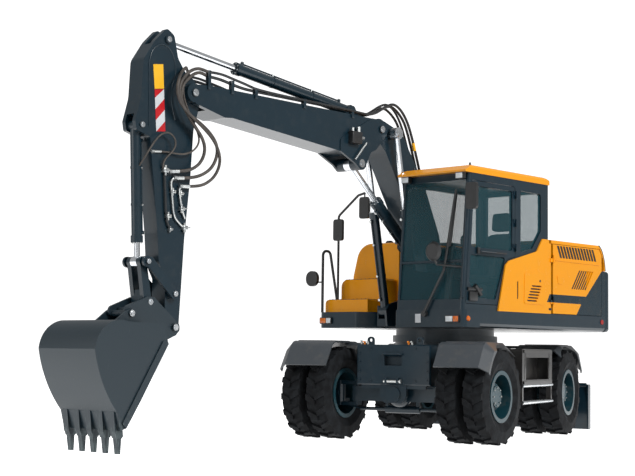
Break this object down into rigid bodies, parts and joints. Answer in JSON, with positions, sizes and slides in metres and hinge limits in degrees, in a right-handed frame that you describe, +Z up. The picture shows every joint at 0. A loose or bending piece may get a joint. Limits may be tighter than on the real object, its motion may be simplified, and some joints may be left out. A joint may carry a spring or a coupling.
{
  "type": "wheeled excavator",
  "caption": "Four-wheel-drive excavator on twin tyres with a slewing upper structure, glazed cab, two-piece boom, arm, bucket on a quick coupler, and a dozer blade.",
  "frame": {"origin": "on the floor, directly under the slew axis", "axes": "+X the undercarriage's forward, away from the dozer blade; +Y the undercarriage's left; +Z up. At rest the upper structure faces 17 degrees to the right of +X."},
  "size_m": [7.7502, 3.8416, 4.2086],
  "materials": {
    "teal_paint": "satin",
    "yellow_paint": "gloss",
    "grey_paint": "satin",
    "worn_steel": "worn",
    "bare_steel": "machined",
    "chrome_rod": "polished",
    "tyre_rubber": "matte",
    "clear_glass": "clear",
    "black_plastic": "textured",
    "lamp_lens": "clear",
    "seat_cloth": "woven",
    "engine_iron": "matte"
  },
  "bodies": {
    "undercarriage": {"chassis_frame": "teal_paint", "front_box": "teal_paint", "fenders": "grey_paint", "side_boxes": "teal_paint", "slew_ring": "bare_steel", "front_axle": "teal_paint", "rear_axle": "teal_paint", "drive_line": "bare_steel", "steering_ram": "bare_steel"},
    "upper_structure": {"turret_frame": "teal_paint", "counterweight": "teal_paint", "cab_shell": "teal_paint", "cab_glass": "clear_glass", "cab_roof": "yellow_paint", "firewall": "teal_paint", "left_panels": "yellow_paint", "right_cover": "yellow_paint", "engine_block": "engine_iron", "cab_controls": "black_plastic", "operator_seat": "seat_cloth", "right_handrail": "black_plastic", "mirror_pole": "black_plastic", "mirrors": "black_plastic", "lamps": "lamp_lens"},
    "lower_boom": {"lower_boom": "teal_paint"},
    "upper_boom": {"upper_boom": "teal_paint"},
    "arm": {"arm": "teal_paint"},
    "bucket": {"bucket": "worn_steel", "quick_coupler": "worn_steel"},
    "rocker": {"rocker_links": "teal_paint"},
    "link": {"bucket_link": "teal_paint"},
    "boom_ram_barrels": {"boom_ram_barrel": "teal_paint"},
    "boom_ram_rods": {"boom_ram_rod": "chrome_rod"},
    "adjust_ram_barrel": {"adjust_ram_barrel": "teal_paint"},
    "adjust_ram_rod": {"adjust_ram_rod": "chrome_rod"},
    "arm_ram_barrel": {"arm_ram_barrel": "teal_paint"},
    "arm_ram_rod": {"arm_ram_rod": "chrome_rod"},
    "bucket_ram_barrel": {"bucket_ram_barrel": "teal_paint"},
    "bucket_ram_rod": {"bucket_ram_rod": "chrome_rod"},
    "blade": {"dozer_blade": "teal_paint"},
    "blade_ram_barrels": {"blade_ram_barrels": "teal_paint"},
    "blade_ram_rods": {"blade_ram_rods": "chrome_rod"},
    "knuckle_left": {"knuckle_left": "teal_paint"},
    "knuckle_right": {"knuckle_right": "teal_paint"},
    "wheels_front_left": {"rims_front_left": "teal_paint", "tyres_front_left": "tyre_rubber"},
    "wheels_front_right": {"rims_front_right": "teal_paint", "tyres_front_right": "tyre_rubber"},
    "wheels_rear_left": {"rims_rear_left": "teal_paint", "tyres_rear_left": "tyre_rubber"},
    "wheels_rear_right": {"rims_rear_right": "teal_paint", "tyres_rear_right": "tyre_rubber"},
    "cab_door": {"cab_door": "teal_paint", "cab_door_glass": "clear_glass"},
    "service_door": {"service_door": "yellow_paint"},
    "engine_hood": {"engine_hood": "yellow_paint"}
  },
  "joints": [
    {"name": "swing", "type": "hinge", "parent": "undercarriage", "child": "upper_structure", "pos_m": [0, 0, 1.21], "axis": [0, 0, 1], "continuous": true},
    {"name": "boom_raise", "type": "hinge", "parent": "upper_structure", "child": "lower_boom", "pos_m": [0.22153, -0.13047, 1.73], "axis": [-0.2924, -0.9563, 0], "range_deg": [-50, 20]},
    {"name": "boom_adjust", "type": "hinge", "parent": "lower_boom", "child": "upper_boom", "pos_m": [1.31172, -0.46377, 3.59], "axis": [-0.2924, -0.9563, 0], "range_deg": [-33, 30]},
    {"name": "arm_swing", "type": "hinge", "parent": "upper_boom", "child": "arm", "pos_m": [4.11369, -1.32042, 3.6], "axis": [0.2924, 0.9563, 0], "range_deg": [-100, 22]},
    {"name": "bucket_curl", "type": "hinge", "parent": "arm", "child": "bucket", "pos_m": [4.28583, -1.37305, 1.215], "axis": [0.2924, 0.9563, 0], "range_deg": [-10, 130]},
    {"name": "boom_ram_pivot", "type": "hinge", "parent": "upper_structure", "child": "boom_ram_barrels", "pos_m": [0.73794, -0.28835, 1.5], "axis": [-0.2924, -0.9563, 0], "range_deg": [-51.67, 20.68]},
    {"name": "boom_ram_slide", "type": "slide", "parent": "boom_ram_barrels", "child": "boom_ram_rods", "axis": [0.1823, -0.0557, 0.9817], "range_m": [-0.49482, 0.19805]},
    {"name": "adjust_ram_pivot", "type": "hinge", "parent": "lower_boom", "child": "adjust_ram_barrel", "pos_m": [0.65187, -0.26204, 2.275], "axis": [-0.2924, -0.9563, 0], "range_deg": [-1.51, 1.66]},
    {"name": "adjust_ram_slide", "type": "slide", "parent": "adjust_ram_barrel", "child": "adjust_ram_rod", "axis": [0.7271, -0.2223, 0.6496], "range_m": [-0.30617, 0.27836]},
    {"name": "arm_ram_pivot", "type": "hinge", "parent": "upper_boom", "child": "arm_ram_barrel", "pos_m": [1.70381, -0.58365, 3.775], "axis": [-0.2924, -0.9563, 0], "range_deg": [-0.047, 0.141]},
    {"name": "arm_ram_slide", "type": "slide", "parent": "arm_ram_barrel", "child": "arm_ram_rod", "axis": [0.9499, -0.2904, 0.1158], "range_m": [-0.93607, 0.20609]},
    {"name": "rocker_pivot", "type": "hinge", "parent": "arm", "child": "rocker", "pos_m": [4.30496, -1.3789, 1.548], "axis": [0.2924, 0.9563, 0], "range_deg": [-8.33, 108]},
    {"name": "link_pivot", "type": "hinge", "parent": "rocker", "child": "link", "pos_m": [4.65401, -1.48561, 1.852], "axis": [0.2924, 0.9563, 0], "range_deg": [-86.14, 6.64]},
    {"name": "bucket_ram_pivot", "type": "hinge", "parent": "arm", "child": "bucket_ram_barrel", "pos_m": [4.71617, -1.50462, 3.2], "axis": [0.2924, 0.9563, 0], "range_deg": [-1.51, 0.14]},
    {"name": "bucket_ram_slide", "type": "slide", "parent": "bucket_ram_barrel", "child": "bucket_ram_rod", "axis": [-0.0461, 0.0141, -0.9988], "range_m": [-0.06255, 0.81074]},
    {"name": "blade_lift", "type": "hinge", "parent": "undercarriage", "child": "blade", "pos_m": [-1.48, 0, 0.48], "axis": [0, 1, 0], "range_deg": [-6, 23]},
    {"name": "blade_ram_pivot", "type": "hinge", "parent": "undercarriage", "child": "blade_ram_barrels", "pos_m": [-1.575, 0, 0.88], "axis": [0, -1, 0], "range_deg": [-17.5, 4.58]},
    {"name": "blade_ram_slide", "type": "slide", "parent": "blade_ram_barrels", "child": "blade_ram_rods", "axis": [-0.8055, 0, -0.5926], "range_m": [-0.15782, 0.04132]},
    {"name": "steer_left", "type": "hinge", "parent": "undercarriage", "child": "knuckle_left", "pos_m": [1.43, 0.74, 0.5275], "axis": [0, 0, 1], "range_deg": [-19, 31]},
    {"name": "steer_right", "type": "hinge", "parent": "undercarriage", "child": "knuckle_right", "pos_m": [1.43, -0.74, 0.5275], "axis": [0, 0, 1], "range_deg": [-19.02, 31.02]},
    {"name": "wheels_front_left_roll", "type": "hinge", "parent": "knuckle_left", "child": "wheels_front_left", "pos_m": [1.43, 0.74, 0.5275], "axis": [0.1045, 0.9945, 0], "continuous": true},
    {"name": "wheels_front_right_roll", "type": "hinge", "parent": "knuckle_right", "child": "wheels_front_right", "pos_m": [1.43, -0.74, 0.5275], "axis": [0.1045, 0.9945, 0], "continuous": true},
    {"name": "wheels_rear_left_roll", "type": "hinge", "parent": "undercarriage", "child": "wheels_rear_left", "pos_m": [-1.17, 0.9, 0.5275], "axis": [0, 1, 0], "continuous": true},
    {"name": "wheels_rear_right_roll", "type": "hinge", "parent": "undercarriage", "child": "wheels_rear_right", "pos_m": [-1.17, -0.9, 0.5275], "axis": [0, 1, 0], "continuous": true},
    {"name": "cab_door_swing", "type": "hinge", "parent": "upper_structure", "child": "cab_door", "pos_m": [0.61309, 1.10922, 2.25], "axis": [0, 0, 1], "range_deg": [0, 140]},
    {"name": "service_door_swing", "type": "hinge", "parent": "upper_structure", "child": "service_door", "pos_m": [-0.10711, 1.34614, 1.9], "axis": [0, 0, -1], "range_deg": [0, 95]},
    {"name": "engine_hood_lift", "type": "hinge", "parent": "upper_structure", "child": "engine_hood", "pos_m": [-0.32773, 0.51847, 2.33], "axis": [0.2924, 0.9563, 0], "range_deg": [0, 55]}
  ],
  "couplings": [
    {"joint": "boom_ram_pivot", "follows": "boom_raise", "ratio": 1.0331},
    {"joint": "boom_ram_slide", "follows": "boom_raise", "m_per_rad": 0.56679},
    {"joint": "adjust_ram_pivot", "follows": "boom_adjust", "ratio": -0.04969},
    {"joint": "adjust_ram_slide", "follows": "boom_adjust", "m_per_rad": 0.53124},
    {"joint": "arm_ram_pivot", "follows": "arm_swing", "ratio": -0.00121},
    {"joint": "arm_ram_slide", "follows": "arm_swing", "m_per_rad": 0.53621},
    {"joint": "rocker_pivot", "follows": "bucket_curl", "ratio": 0.83062},
    {"joint": "link_pivot", "follows": "bucket_curl", "ratio": -0.6625},
    {"joint": "bucket_ram_pivot", "follows": "bucket_curl", "ratio": -0.011497},
    {"joint": "bucket_ram_slide", "follows": "bucket_curl", "m_per_rad": 0.35724},
    {"joint": "blade_ram_pivot", "follows": "blade_lift", "ratio": -0.75991},
    {"joint": "blade_ram_slide", "follows": "blade_lift", "m_per_rad": -0.39266},
    {"joint": "steer_right", "follows": "steer_left", "ratio": 1}
  ]
}
